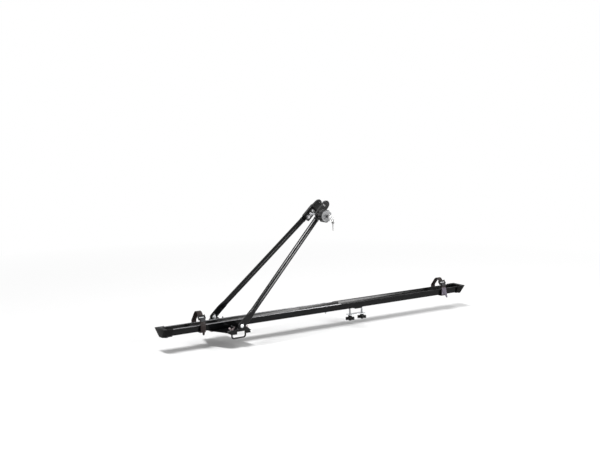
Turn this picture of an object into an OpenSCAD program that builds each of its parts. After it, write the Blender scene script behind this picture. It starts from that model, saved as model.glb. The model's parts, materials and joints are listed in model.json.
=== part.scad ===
// Roof mounted bike carrier: a two piece wheel rail on two roof bars, with a folding A-frame arm
// whose lockable clamp grips the frame tube. X runs along the rail to the rear, Y to the far side,
// Z up, and the origin is the middle of the front bar seat. All sizes are in millimetres.

/* [Roof bars] */
// Width of a roof bar along the rail
bar_w = 32; // [24:1:36]
// Height of the space that holds a roof bar
bar_h = 22; // [20:1:32]
// Distance from the end of the front rail to the rear roof bar
rear_bar_in = 91; // [80:1:160]
// Clearance between a roof bar and the teeth of the base, each side
bar_fit = 1.5; // [1:0.5:3]

/* [Rail] */
// Length of the front rail ahead of the front bar
rail_ahead = 262; // [250:1:320]
// Length of the front rail behind the front bar
rail_behind = 485; // [460:1:495]
// Length of the rear rail behind the joint
rear_rail_len = 593; // [560:1:680]
// Length of the narrow tongue inside the front rail
tongue_len = 150; // [130:1:180]
// Length of the tongue that is riveted into the rear rail
tongue_root = 25; // [20:1:35]
// Outer width of the rail's floor
rail_floor_w = 46; // [44:0.5:49]
// Outer width across the tops of the rail's walls
rail_top_w = 56.5; // [55:0.5:60]
// Height of the rail
rail_h = 26.5; // [24:0.5:29]
// Sheet thickness of the rail
rail_t = 1.5; // [1.2:0.1:2]
// Diameter of the beaded lips
bead_d = 5.5; // [4.5:0.1:6.5]
// How far a bead stands into the channel
bead_set = 0.2; // [0.1:0.05:0.3]
// Clearance between the tongue's walls and the front rail
tongue_gap = 0.5; // [0.4:0.05:0.8]
// Gap between the ends of the two rails
joint_gap = 1; // [0.5:0.5:2]

/* [Rail bolts] */
// Diameter of the bolts through the rail's floor
rail_bolt_d = 6; // [5:0.5:8]
// Distance from the front rail's end to the joint bolt
joint_bolt_in = 51; // [30:1:90]
// Thread of the joint bolt that stands out past its nut
joint_thread_out = 4; // [2:0.5:9]
// Distance of the front base bolt ahead of the bar
base_bolt_front = 66; // [55:1:72]
// Distance of the rear base bolt behind the bar
base_bolt_back = 31; // [29:1:33]
// Radial clearance of bolts in plain holes
hole_fit = 0.3; // [0.2:0.05:0.6]
// Thickness of a bolt's domed head
head_t = 3.5; // [2.5:0.1:5]
// Height of a plain hexagon nut
nut_t = 5; // [4:0.5:7]
// Thread that stands out past a nut
thread_out = 2.5; // [1:0.5:4]
// Diameter of the tongue's rivets
rivet_d = 4; // [3:0.5:5]
// Thickness of a rivet's domed head
rivet_head_t = 1.6; // [1:0.1:2]
// Distance of a rivet from the middle of the rail
rivet_y = 10; // [8:0.5:13]

/* [End caps] */
// Length of rail inside an end cap
cap_grip = 22; // [15:1:30]
// Wall of an end cap around the rail
cap_wall = 3; // [2:0.25:4]
// Depth of an end cap's keel below the rail's floor
cap_keel = 4; // [3:0.5:8]
// Length of the keel under the rail
cap_skirt = 5; // [3:0.5:12]
// Width of the end wall's foot
cap_nose_w = 23; // [16:1:44]
// Thickness of the end wall at its foot
cap_end_t = 11.5; // [6:0.5:14]
// How far the top of the end wall leans out past its foot
cap_rake = 4.5; // [2:0.5:12]
// Clearance between an end cap and the rail
cap_fit = 0.25; // [0.15:0.05:0.4]
// Height of an end cap above the rail's beads
cap_over = 1; // [0.5:0.25:3]

/* [Base bracket] */
// Width over the two side plates
base_w = 200; // [190:1:220]
// Sheet thickness of the base
base_t = 2.5; // [2:0.25:3.5]
// Reach of the base behind the bar's middle
base_back = 40; // [38:1:50]
// Reach of the side plates ahead of the bar's middle
base_front = 57; // [48:1:70]
// Reach of the nose under the rail
base_nose = 88; // [82:1:92]
// Width of the nose
nose_w = 44; // [36:1:60]
// Height of the low stretch of the side plates above the base's floor
side_low = 5; // [3:0.5:8]
// Depth of the teeth beside the roof bar, below the seat
tooth_h = 7; // [4:0.5:10]
// Thickness of the rubber pad under the base
base_pad_t = 2; // [1.5:0.25:4]
// Width of the rubber pads along the rail
pad_w = 30; // [24:1:32]
// Length of the base's pad across the rail
base_pad_len = 140; // [100:1:144]

/* [Arm] */
// Height of the arm's pivot above the roof bar
pivot_z = 22.5; // [21:0.5:27]
// Diameter of the pivot bolts
pivot_d = 8; // [6:0.5:10]
// Radius of the upright ears round the pivot
ear_r = 12; // [10:0.5:14]
// Thickness of the washer between an ear and a leg
pivot_washer_t = 1; // [0.5:0.25:2]
// Radial running clearance on pivots and threads
run_fit = 0.06; // [0.03:0.01:0.09]
// Distance from the pivot to the clamp screw
arm_reach = 529; // [505:1:555]
// Rise of the arm above the rail in degrees
arm_rise = 42.7; // [38:0.1:48]
// Diameter of the leg tubes
leg_d = 20; // [16:0.5:22]
// Wall of the leg tubes
leg_wall = 1.5; // [1.2:0.1:2.5]
// Thickness of a leg's flattened ends
tab_t = 4; // [3:0.25:5]
// Width of a leg's flattened foot
tab_w = 26; // [22:0.5:28]
// Radius of a leg's lower end round the pivot
foot_r = 13; // [11:0.5:14]
// Flat length of a leg above the pivot
foot_len = 38; // [34:1:50]
// Length over which a leg's foot goes from flat to round
foot_blend = 36; // [25:1:50]
// Flat length of the near leg below the clamp screw
near_top_len = 14; // [13:1:20]
// Flat length of the far leg past the far jaw's block
far_top_past = 2; // [1:0.5:10]
// Width of a leg's flattened upper end
top_tab_w = 22; // [20.5:0.5:26]
// Length over which a leg's upper end goes from round to flat
top_blend = 12; // [10:1:30]
// Radius of a leg's upper end round the clamp screw
top_r = 10; // [8.5:0.25:11]
// Distance between the two legs at the clamp screw
head_w = 72; // [70:1:80]

/* [Clamp head] */
// Diameter of the frame tube in the closed jaws
tube_d = 43; // [38:1:46]
// Distance from the clamp screw to the tube's axis
tube_out = 40; // [38:0.5:46]
// Thickness of the jaws' rubber lining
lining_t = 4; // [2:0.5:5]
// Thickness of the jaws
jaw_t = 7.5; // [6:0.5:9]
// Width of the jaws along the tube
jaw_w = 27; // [24:1:30]
// Reach of the jaws' tips past the tube's axis
jaw_tip = 28; // [26:0.5:32]
// Thickness of the jaws' tips
tip_t = 4.5; // [3:0.5:6]
// Angle of lining each side of the lateral direction
lining_half = 40; // [30:1:45]
// Distance of the jaws' roots from the middle
root_in = 22; // [20:0.5:23]
// Thickness of the near jaw's root
near_root_t = 10; // [8:0.5:10]
// Reach of the far jaw's block below the clamp screw
block_back = 25; // [24:0.5:28]
// Width of the far jaw's block along the tube
block_w = 31; // [30:0.5:36]
// Radius of the near jaw's lug round the clamp screw
lug_r = 10; // [8:0.5:12]
// Distance of the far leg's bolt below the clamp screw
lug_bolt_in = 16; // [15.5:0.5:17.5]
// Diameter of the far leg's bolt
lug_bolt_d = 8; // [6:0.5:8]
// End play of pieces that turn or slide on a bolt
end_play = 0.2; // [0.15:0.05:0.3]
// Diameter of the clamp screw
screw_d = 8; // [6:0.5:8]
// Thickness of the clamp screw's head
screw_head_t = 5.5; // [4:0.5:7]
// Outer diameter of the thrust sleeve
sleeve_d = 12; // [11:0.5:13]

/* [Clamp knob] */
// Distance from the middle to the knob's inner end
knob_in = 55; // [54.5:0.5:60]
// Length of the knob
knob_len = 29; // [28:0.5:36]
// Diameter of the knob
knob_d = 48; // [44:1:52]
// Number of grip flutes round the knob
flutes = 10; // [6:1:14]
// Depth of the grip flutes
flute_depth = 2.2; // [1:0.1:3]
// Diameter of the neck behind the grip
knob_neck_d = 28; // [24:1:34]
// Length of the neck
knob_neck_len = 6; // [4:0.5:10]
// Thickness of the grey cap
knob_cap_t = 3.5; // [3:0.25:5]
// Width of the knob's rim round the grey cap
cap_rim = 2.5; // [2:0.25:8]
// Length of the threaded insert
insert_len = 13; // [11:0.5:14]
// Wall of the threaded insert
insert_wall = 3; // [2:0.25:4]
// Length of screw inside the knob
screw_in_knob = 9; // [8:0.5:9.5]
// Free depth past the screw's end in the knob
screw_room = 11.5; // [11:0.5:12]

/* [Lock and keys] */
// Diameter of the lock core
core_d = 11; // [9:0.5:13]
// Depth of the lock core inside the knob
core_in = 7; // [6:0.25:7]
// How far the lock core stands out of the cap
core_out = 1; // [0.5:0.25:2]
// Thickness of a key
key_t = 2; // [1.5:0.1:2.2]
// Width of a key's blade
blade_w = 7; // [5:0.5:7.5]
// Length of the spare key's blade
blade_len = 24; // [18:1:30]
// Depth of the keyway
keyway = 9; // [7:0.5:9.5]
// Clearance of the key in the keyway
key_fit = 0.15; // [0.1:0.05:0.3]
// Diameter of a key's bow
bow_d = 20; // [19:0.5:22]
// Diameter of the hole in a key's bow
bow_hole_d = 8.2; // [8:0.1:9]
// Distance from the lock core to the hole in the key's bow
bow_out = 17; // [14:0.5:20]
// How far the hole in a bow stands off the bow's middle
bow_shift = 4; // [2:0.5:4.5]
// Mean diameter of the key ring
ring_d = 20; // [18:0.5:24]
// Thickness of the key ring's wire
ring_wire = 1.6; // [1.2:0.1:1.7]
// How far the ring sags in the hole of a bow
ring_sag = 0.4; // [0.2:0.1:0.6]

/* [Front clamps] */
// Diameter of the U-bolts' rod
rod_d = 6; // [5:0.5:8]
// Distance between the clamp bolts beside a roof bar
clamp_pitch = 56; // [52:1:60]
// Distance of the U-bolts from the outer faces of the side plates
ubolt_in = 20; // [18:0.5:23]
// Bend radius of the U-bolts
ubolt_bend = 9; // [7:0.5:12]
// Height of the U-bolts' ends above the base's floor
ubolt_top = 19; // [19:0.5:24]
// Thickness of the washers under the wing nuts
washer_t = 1.2; // [0.8:0.1:2]
// Diameter of the washers under the wing nuts
washer_d = 14; // [11:0.5:18]
// Hub diameter of a wing nut
wing_hub_d = 11; // [10:0.5:13]
// Hub height of a wing nut
wing_hub_h = 6.5; // [5:0.5:8]
// Span of a wing nut
wing_span = 26; // [22:1:30]
// Height of a wing nut's wings
wing_h = 12; // [9:0.5:13]
// Thickness of a wing nut's wings
wing_t = 2.4; // [1.8:0.1:3]

/* [Rear clamp] */
// Diameter of the rear clamp bolts
rear_bolt_d = 8; // [6:0.5:9]
// Length of the rear pad across the rail
rear_pad_len = 40; // [30:1:44]
// Thickness of the rear clamp plate
plate_t = 3; // [2:0.25:4]
// Width of the rear clamp plate across the rail
plate_w = 30; // [24:1:40]
// Length of the rear clamp plate past its bolts
plate_over = 9; // [8:0.5:18]
// Height of a star knob
star_h = 19; // [17:0.5:24]
// Diameter over a star knob's lobes
star_d = 34; // [30:1:38]
// Diameter of a lobe
lobe_d = 11; // [8:0.5:12]
// Number of lobes on a star knob
lobes = 4; // [3:1:6]
// Height of a star knob's lobes
lobe_h = 11; // [8:0.5:13]
// Diameter of a star knob's collar
star_collar_d = 15; // [13:0.5:18]
// Turn of the star knobs in degrees
star_turn = 57; // [0:1:90]

/* [Straps] */
// Width of the wheel straps
strap_w = 20; // [16:1:25]
// Thickness of the wheel straps
strap_t = 2.5; // [2:0.25:3.5]
// Clearance between a strap and the rail
strap_fit = 0.5; // [0.3:0.1:0.8]
// Place of the front strap ahead of the front bar
front_strap_x = 119; // [112:1:130]
// Height of the front strap's loop
front_strap_h = 76.5; // [72:0.5:90]
// Distance of the rear strap from the rear end of the rail
rear_strap_in = 93; // [78:1:180]
// Height of the rear strap's loop
rear_strap_h = 71.5; // [70:0.5:90]
// Radius inside the top of a strap's loop
strap_top_r = 13; // [10:0.5:16]
// Radius inside the shoulders of a strap's loop
strap_side_r = 6; // [4:0.5:9]
// Height of the straight sides above the rail
strap_straight = 5; // [3:0.5:8]
// Length of the straps' tails below the rail's floor
tail_drop = 11.5; // [6:0.5:20]
// Width of the straps' tails at their ends
tail_tip_w = 6; // [4:0.5:12]
// How far the front strap's tail leans to the rear
front_tail_lean = 0; // [-12:1:12]
// How far the rear strap's tail leans to the rear
rear_tail_lean = 15; // [-15:1:15]
// Wall of the strap buckles
buckle_wall = 2.5; // [2:0.25:3]
// Length of the buckles along the strap
buckle_len = 16; // [14:1:20]
// Height of the buckles' cheeks
cheek_h = 7; // [6:0.5:9]
// Diameter of the lever's hinge pin
lever_pin_d = 3; // [2.5:0.25:3.5]
// Length of the buckle lever
lever_len = 20; // [16:1:24]
// Thickness of the buckle lever
lever_t = 2.2; // [1.8:0.1:3]
// Reach of the buckle lever above its pin
lever_root = 1.2; // [0.8:0.1:1.3]

/* [Hidden] */
$fn = 64;
// A cut reaches this far past the face that it opens
cut = 1;
hex_ratio = 1 / cos(30);
// Width across the flats of a nut or a hexagon head, for each millimetre of thread
hex_across = 1.65;
// Width of a domed head, for each millimetre of thread
head_across = 2;
steel_black = "#1b1c1e";
plastic_black = "#161616";
rubber_black = "#232323";
zinc = "#c9ccd0";
knob_grey = "#8e8e92";

// Rail section, from the rail's own underside
rail_z = base_pad_t + base_t;
wall_h = rail_h - bead_d / 2;
bead_y = rail_top_w / 2 - rail_t + bead_d / 2 - bead_set;
lip_y = bead_y + bead_d / 2;
wall_slope = (rail_top_w - rail_floor_w) / 2 / wall_h;
inner_slope = (rail_top_w - rail_floor_w) / 2 / (wall_h - rail_t);
rail_start = -rail_ahead;
rear_start = rail_behind + joint_gap;
rear_end = rail_behind + rear_rail_len;
bar_spacing = rail_behind + rear_bar_in;
rear_strap_x = rear_end - rear_strap_in;
tongue_start = rail_behind - tongue_len;
joint_bolt_x = rail_behind - joint_bolt_in;
rivet_x = rear_start + tongue_root / 2;
rivet_hole_d = rivet_d + 2 * hole_fit;
base_bolt_xs = [-base_bolt_front, base_bolt_back];
rear_bolt_xs = [bar_spacing - clamp_pitch / 2, bar_spacing + clamp_pitch / 2];
rail_hole_d = rail_bolt_d + 2 * hole_fit;
rear_hole_d = rear_bolt_d + 2 * hole_fit;
floor_top = rail_z + rail_t;

// Base
side_y = base_w / 2 - base_t;
ubolt_y = base_w / 2 - ubolt_in;
slot_x = bar_w / 2 + bar_fit;
low_z = rail_z + side_low;
rod_hole_d = rod_d + 2 * hole_fit;

// Arm
foot_y = base_w / 2 + pivot_washer_t;
foot_mid = foot_y + tab_t / 2;
top_y = head_w / 2;
top_mid = top_y + tab_t / 2;
far_top_len = block_back + far_top_past;
// Length of the slices between which a leg changes its shape, and their step inside the tube
slice_t = 0.5;
blend_step = 0.2;
pivot_hole_d = pivot_d + 2 * run_fit;
screw_hole_d = screw_d + 2 * run_fit;

// Clamp head
tube_r = tube_d / 2;
lining_r = tube_r + lining_t;
jaw_r = lining_r + jaw_t;
tip_x = tube_out + jaw_tip;
// How far the middle of a jaw's tip stands past the end of its lining
tip_rise = 3.5;
tip_y = lining_r * sin(90 - lining_half) + tip_rise;
near_root_y = root_in + near_root_t;
far_end = top_y + tab_t;
sleeve_hole_d = sleeve_d + 2 * run_fit;
lug_hole_d = lug_bolt_d + 2 * hole_fit;
knob_end = knob_in + knob_len;
knob_cap_d = knob_d - 2 * cap_rim;
screw_end = knob_in + screw_in_knob;
cap_end = knob_end + knob_cap_t;
core_end = cap_end + core_out;
core_start = knob_end - core_in;
insert_d = screw_hole_d + 2 * insert_wall;
core_hole_d = core_d + 2 * run_fit;
screw_x = arm_reach * cos(arm_rise);
screw_z = pivot_z + arm_reach * sin(arm_rise);

// Keys and their ring, set out from the lock's axis, with the ring half way down to the rear
ring_lean = 45;
bow_y = -(core_end + bow_out);
ring_x = screw_x + (ring_d / 2 + ring_sag) * cos(ring_lean);
ring_z = screw_z - (ring_d / 2 + ring_sag) * sin(ring_lean);
spare_x = ring_x + ring_d / 2 * cos(ring_lean);
spare_z = ring_z - ring_d / 2 * sin(ring_lean) - ring_sag;

// Clamps
ubolt_bottom = -bar_h - rod_d / 2;
ubolt_end = rail_z + ubolt_top;
wing_z = rail_z + washer_t;
plate_z = -bar_h - plate_t;
rear_bolt_end = plate_z - star_h - thread_out;

// Straps
strap_y = lip_y + strap_fit;
strap_low = rail_z - strap_fit;
strap_side_z = rail_z + rail_h + strap_straight;

// Shared shapes

// Extrudes an outline drawn in Y and Z from one place along the rail to another
module along_x(x0, x1) {
    translate([x0, 0, 0]) rotate([90, 0, 90]) linear_extrude(x1 - x0) children();
}

// Extrudes an outline drawn in X and Z across the rail, from one Y to a greater one
module along_y(y0, y1) {
    translate([0, y1, 0]) rotate([90, 0, 0]) linear_extrude(y1 - y0) children();
}

// Round bar across the rail, from one Y to a greater one
module bar_y(d, y0, y1) {
    translate([0, y1, 0]) rotate([90, 0, 0]) cylinder(d = d, h = y1 - y0);
}

// Hexagon bar across the rail, from one Y to a greater one
module hex_y(across, y0, y1) {
    translate([0, y1, 0]) rotate([90, 0, 0]) cylinder(d = across * hex_ratio, h = y1 - y0, $fn = 6);
}

// Upright tube
module tube_z(outer, inner, h) {
    difference() {
        cylinder(d = outer, h = h);
        translate([0, 0, -cut]) cylinder(d = inner, h = h + 2 * cut);
    }
}

// Tube across the rail
module tube_y(outer, inner, y0, y1) {
    difference() {
        bar_y(outer, y0, y1);
        bar_y(inner, y0 - cut, y1 + cut);
    }
}

// Domed bolt head that stands on Z = 0
module dome_head(d, h) {
    arc = [for (a = [0:15:90]) [d / 2 * cos(a), h * (0.35 + 0.65 * sin(a))]];
    rotate_extrude() polygon(concat([[0, 0], [d / 2, 0]], arc));
}

// Upright hexagon nut with its bore
module hex_nut(across, bore, h) {
    difference() {
        cylinder(d = across * hex_ratio, h = h, $fn = 6);
        translate([0, 0, -cut]) cylinder(d = bore, h = h + 2 * cut);
    }
}

// Bolt with its domed head on Z = 0 and its shank below
module dome_bolt(d, len) {
    dome_head(head_across * d, head_t);
    translate([0, 0, -len]) cylinder(d = d, h = len);
}

// The arm's frame: X along the legs from the pivot, Z square to them
module arm_frame() {
    translate([0, 0, pivot_z]) rotate([0, -arm_rise, 0]) children();
}

// The head's frame: the arm's frame moved to the clamp screw
module head_frame() {
    arm_frame() translate([arm_reach, 0, 0]) children();
}

// The lock's frame, on the knob's axis with level X and upright Z
module lock_frame() {
    translate([screw_x, 0, screw_z]) children();
}

// Rails

module rail_section() {
    polygon([[-rail_floor_w / 2, 0], [rail_floor_w / 2, 0], [rail_top_w / 2, wall_h],
             [rail_top_w / 2 - rail_t, wall_h], [rail_floor_w / 2 - rail_t, rail_t],
             [-rail_floor_w / 2 + rail_t, rail_t], [-rail_top_w / 2 + rail_t, wall_h],
             [-rail_top_w / 2, wall_h]]);
    for (s = [-1, 1]) {
        translate([s * bead_y, wall_h]) circle(d = bead_d);
    }
}

// The narrowed section that nests on the front rail's floor
module tongue_section() {
    foot = rail_floor_w / 2 - rail_t - tongue_gap;
    top = rail_top_w / 2 - rail_t - tongue_gap;
    polygon([[-foot, rail_t], [foot, rail_t], [top, wall_h], [top - rail_t, wall_h],
             [foot - rail_t + inner_slope * rail_t, 2 * rail_t],
             [-foot + rail_t - inner_slope * rail_t, 2 * rail_t],
             [-top + rail_t, wall_h], [-top, wall_h]]);
}

// Holes through the rail's floor
module floor_holes(xs, d) {
    for (x = xs) {
        translate([x, 0, -cut]) cylinder(d = d, h = 2 * rail_t + 2 * cut);
    }
}

module front_rail() {
    color(steel_black) translate([0, 0, rail_z]) difference() {
        along_x(rail_start, rail_behind) rail_section();
        floor_holes(concat(base_bolt_xs, [joint_bolt_x]), rail_hole_d);
    }
}

// Holes for the rivets, side by side across the rail's floor
module rivet_holes() {
    for (s = [-1, 1]) {
        translate([0, s * rivet_y, 0]) floor_holes([rivet_x], rivet_hole_d);
    }
}

module rear_rail() {
    color(steel_black) translate([0, 0, rail_z]) difference() {
        along_x(rear_start, rear_end) rail_section();
        floor_holes(rear_bolt_xs, rear_hole_d);
        rivet_holes();
    }
}

module rail_tongue() {
    color(steel_black) translate([0, 0, rail_z]) difference() {
        along_x(tongue_start, rear_start + tongue_root) tongue_section();
        floor_holes([joint_bolt_x], rail_hole_d);
        rivet_holes();
    }
}

// Rivets with a domed head inside the channel and a flat head below it
module tongue_rivets() {
    color(steel_black) for (s = [-1, 1]) {
        translate([rivet_x, s * rivet_y, rail_z]) {
            translate([0, 0, 2 * rail_t]) dome_head(head_across * rivet_d, rivet_head_t);
            cylinder(d = rivet_d, h = 2 * rail_t);
            translate([0, 0, -rivet_head_t / 2]) cylinder(d = head_across * rivet_d, h = rivet_head_t / 2);
        }
    }
}

module rail_joint_bolt() {
    color(zinc) translate([joint_bolt_x, 0, floor_top + rail_t])
        dome_bolt(rail_bolt_d, 2 * rail_t + nut_t + joint_thread_out);
}

module rail_joint_nut() {
    color(zinc) translate([joint_bolt_x, 0, rail_z - nut_t])
        hex_nut(hex_across * rail_bolt_d, rail_bolt_d + 2 * run_fit, nut_t);
}

// Outline of an end cap round the rail down to its keel, in Y and Z
module cap_outline(keel) {
    foot_half = rail_floor_w / 2 + cap_wall;
    top_half = lip_y + cap_wall;
    polygon([[-foot_half + cap_wall, -keel], [foot_half - cap_wall, -keel], [foot_half, -cap_wall / 2],
             [top_half, wall_h - bead_d], [top_half, rail_h + cap_over],
             [-top_half, rail_h + cap_over], [-top_half, wall_h - bead_d], [-foot_half, -cap_wall / 2]]);
}

// The plug of the wheel channel, drawn for the rear end of the rail at X = 0
module end_cap() {
    top = rail_h + cap_over;
    top_half = lip_y + cap_wall;
    lip_low = wall_h - bead_d / 2 - cap_fit;
    lip_half = lip_y + cap_fit;
    wall_half = rail_floor_w / 2 + cap_fit + wall_slope * lip_low;
    edge = 0.5;
    difference() {
        union() {
            along_x(-cap_grip, 0) cap_outline(cap_wall / 2);
            along_x(-cap_skirt, 0) cap_outline(cap_keel);
            hull() {
                along_x(-edge, edge) cap_outline(cap_keel);
                translate([cap_end_t - edge, -cap_nose_w / 2, -cap_keel]) cube([edge, cap_nose_w, edge]);
                translate([cap_end_t + cap_rake - edge, -top_half, top - edge]) cube([edge, 2 * top_half, edge]);
            }
        }
        along_x(-cap_grip - cut, cap_fit)
            polygon([[-rail_floor_w / 2 - cap_fit, -cap_fit], [rail_floor_w / 2 + cap_fit, -cap_fit],
                     [wall_half, lip_low], [lip_half, lip_low], [lip_half, top + cut],
                     [-lip_half, top + cut], [-lip_half, lip_low], [-wall_half, lip_low]]);
    }
}

module front_end_cap() {
    color(plastic_black) translate([rail_start, 0, rail_z]) mirror([1, 0, 0]) end_cap();
}

module rear_end_cap() {
    color(plastic_black) translate([rear_end, 0, rail_z]) end_cap();
}

// Base

module base_floor() {
    translate([0, 0, base_pad_t]) linear_extrude(base_t)
        polygon([[-base_nose, -nose_w / 2], [-base_front, -side_y - base_t], [base_back, -side_y - base_t],
                 [base_back, side_y + base_t], [-base_front, side_y + base_t], [-base_nose, nose_w / 2]]);
}

module side_plate_outline() {
    ear = [for (a = [10:16:170]) [ear_r * cos(a), pivot_z + ear_r * sin(a)]];
    polygon(concat([[-base_front, low_z], [-base_front, base_pad_t], [-base_back, -tooth_h],
                    [-slot_x, -tooth_h], [-slot_x, base_pad_t], [slot_x, base_pad_t], [slot_x, -tooth_h],
                    [base_back, -tooth_h], [base_back - tooth_h, low_z]],
                   ear, [[-ear_r - side_low, low_z]]));
}

module base_bracket() {
    color(steel_black) difference() {
        union() {
            base_floor();
            for (s = [0, 1]) {
                mirror([0, s, 0]) along_y(side_y, side_y + base_t) side_plate_outline();
            }
        }
        translate([0, 0, pivot_z]) bar_y(pivot_d + 2 * hole_fit, -base_w, base_w);
        for (x = base_bolt_xs) {
            translate([x, 0, base_pad_t - cut]) cylinder(d = rail_hole_d, h = base_t + 2 * cut);
        }
        for (x = [-1, 1], y = [-1, 1]) {
            translate([x * clamp_pitch / 2, y * ubolt_y, base_pad_t - cut])
                cylinder(d = rod_hole_d, h = base_t + 2 * cut);
        }
    }
}

module base_pad() {
    color(rubber_black) translate([-pad_w / 2, -base_pad_len / 2, 0]) cube([pad_w, base_pad_len, base_pad_t]);
}

module base_rail_bolts() {
    color(zinc) for (x = base_bolt_xs) {
        translate([x, 0, floor_top]) dome_bolt(rail_bolt_d, rail_t + base_t + nut_t + thread_out);
    }
}

module base_rail_nuts() {
    color(zinc) for (x = base_bolt_xs) {
        translate([x, 0, base_pad_t - nut_t]) hex_nut(hex_across * rail_bolt_d, rail_bolt_d + 2 * run_fit, nut_t);
    }
}

// Pivots of the arm

module pivot_bolts() {
    outer = foot_y + tab_t + end_play;
    color(zinc) translate([0, 0, pivot_z]) for (s = [0, 1]) {
        mirror([0, s, 0]) {
            bar_y(pivot_d, side_y - nut_t - thread_out, outer);
            translate([0, outer, 0]) rotate([-90, 0, 0]) dome_head(head_across * pivot_d - 2, head_t);
        }
    }
}

module pivot_nuts() {
    color(zinc) translate([0, 0, pivot_z]) for (s = [0, 1]) {
        mirror([0, s, 0]) difference() {
            hex_y(hex_across * pivot_d, side_y - nut_t, side_y);
            bar_y(pivot_hole_d, side_y - nut_t - cut, side_y + cut);
        }
    }
}

module pivot_washers() {
    color(zinc) translate([0, 0, pivot_z]) for (s = [0, 1]) {
        mirror([0, s, 0]) tube_y(head_across * pivot_d, pivot_hole_d, base_w / 2, foot_y - end_play);
    }
}

// Arm

// Flat outline of a leg's end round its bolt, running to X = len with the width w
module tab_outline(r, len, w) {
    hull() {
        circle(r = r, $fn = 32);
        translate([len - slice_t, -w / 2]) square([slice_t, w]);
    }
}

// A short slice of the leg, just inside its tube
module leg_slice() {
    rotate([0, 90, 0]) cylinder(d = leg_d - 2 * blend_step, h = slice_t, center = true, $fn = 32);
}

// A short slice of the flattened leg at a place along it, with the width w
module flat_slice(x, y, w) {
    translate([x - slice_t / 2, y - tab_t / 2, -w / 2]) cube([slice_t, tab_t, w]);
}

// A leg on the far side whose upper end is flat over top_len
module leg(top_len) {
    x0 = foot_len + foot_blend;
    x1 = arm_reach - top_len - top_blend;
    slope = (foot_mid - top_mid) / (arm_reach - top_len - foot_len);
    y0 = foot_mid - slope * foot_blend;
    y1 = top_mid + slope * top_blend;
    lean = -atan(slope);
    slant = sqrt((x1 - x0) * (x1 - x0) + (y0 - y1) * (y0 - y1));
    difference() {
        union() {
            along_y(foot_y, foot_y + tab_t) tab_outline(foot_r, foot_len, tab_w);
            hull() {
                flat_slice(foot_len - slice_t / 2, foot_mid, tab_w);
                translate([x0, y0, 0]) rotate([0, 0, lean]) leg_slice();
            }
            translate([x0, y0, 0]) rotate([0, 0, lean]) rotate([0, 90, 0]) cylinder(d = leg_d, h = slant);
            hull() {
                translate([x1, y1, 0]) rotate([0, 0, lean]) leg_slice();
                flat_slice(arm_reach - top_len + slice_t / 2, top_mid, top_tab_w);
            }
            translate([arm_reach, 0, 0]) mirror([1, 0, 0])
                along_y(top_y, top_y + tab_t) tab_outline(top_r, top_len, top_tab_w);
        }
        translate([x0, y0, 0]) rotate([0, 0, lean]) rotate([0, 90, 0]) translate([0, 0, leg_wall])
            cylinder(d = leg_d - 2 * leg_wall, h = slant - 2 * leg_wall);
        bar_y(pivot_hole_d, foot_y - cut, foot_y + tab_t + cut);
    }
}

// The near leg guides the thrust sleeve
module near_leg() {
    color(steel_black) arm_frame() mirror([0, 1, 0]) difference() {
        leg(near_top_len);
        translate([arm_reach, 0, 0]) bar_y(sleeve_hole_d, top_y - cut, far_end + cut);
    }
}

// The far leg carries the far jaw on the clamp screw and a bolt
module far_leg() {
    color(steel_black) arm_frame() difference() {
        leg(far_top_len);
        translate([arm_reach, 0, 0]) bar_y(screw_d + 2 * hole_fit, top_y - cut, far_end + cut);
        translate([arm_reach - lug_bolt_in, 0, 0]) bar_y(lug_hole_d, top_y - cut, far_end + cut);
    }
}

module far_leg_bolt() {
    color(zinc) head_frame() translate([-lug_bolt_in, 0, 0]) {
        bar_y(lug_bolt_d, root_in - nut_t - thread_out, far_end);
        translate([0, far_end, 0]) rotate([-90, 0, 0]) dome_head(head_across * lug_bolt_d - 2, head_t);
    }
}

module far_leg_nut() {
    color(zinc) head_frame() translate([-lug_bolt_in, 0, 0]) difference() {
        hex_y(hex_across * lug_bolt_d, root_in - nut_t, root_in);
        bar_y(lug_bolt_d + 2 * run_fit, root_in - nut_t - cut, root_in + cut);
    }
}

// Clamp head

// Side outline of a jaw on the far side, in the head's X and Y
module jaw_outline(back, root_y) {
    arc = [for (a = [62:7:90]) [tube_out + jaw_r * cos(a), jaw_r * sin(a)]];
    polygon(concat([[-back, root_in], [tube_out, root_in],
                    [tube_out + (lining_r - 1) * sin(lining_half), (lining_r - 1) * cos(lining_half)],
                    [tip_x, tip_y], [tip_x, tip_y + tip_t]],
                   arc, [[tube_out - jaw_t, root_y], [-back, root_y]]));
}

// A jaw on the far side: its side outline cut to the tongue outline given as children
module jaw(back, root_y) {
    difference() {
        intersection() {
            translate([0, 0, -block_w]) linear_extrude(2 * block_w) jaw_outline(back, root_y);
            along_y(0, jaw_r + root_y) children();
        }
        translate([tube_out, 0, -block_w]) cylinder(r = lining_r, h = 2 * block_w);
        bar_y(screw_hole_d, 0, root_y + cut);
    }
}

// Tongue outline of a jaw with its rounded tip, in the head's X and Z
module jaw_tongue(back) {
    translate([-back, -jaw_w / 2]) square([tip_x + back - jaw_w / 2, jaw_w]);
    translate([tip_x - jaw_w / 2, 0]) circle(d = jaw_w);
}

// Rubber lining of a jaw, round the frame tube
module lining() {
    translate([tube_out, 0, -jaw_w / 2]) rotate([0, 0, 90 - lining_half])
        rotate_extrude(angle = 2 * lining_half) translate([tube_r, 0]) square([lining_t, jaw_w]);
}

module far_jaw() {
    color(plastic_black) head_frame() difference() {
        jaw(block_back, top_y) {
            jaw_tongue(0);
            translate([-block_back, -block_w / 2]) square([block_back + tube_out - jaw_t, block_w]);
        }
        translate([-lug_bolt_in, 0, 0]) bar_y(lug_hole_d, 0, far_end);
    }
}

module far_jaw_lining() {
    color(rubber_black) head_frame() lining();
}

module clamp_screw() {
    color(zinc) head_frame() {
        bar_y(screw_d, -screw_end, far_end);
        hex_y(hex_across * screw_d, far_end, far_end + screw_head_t);
    }
}

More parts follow.
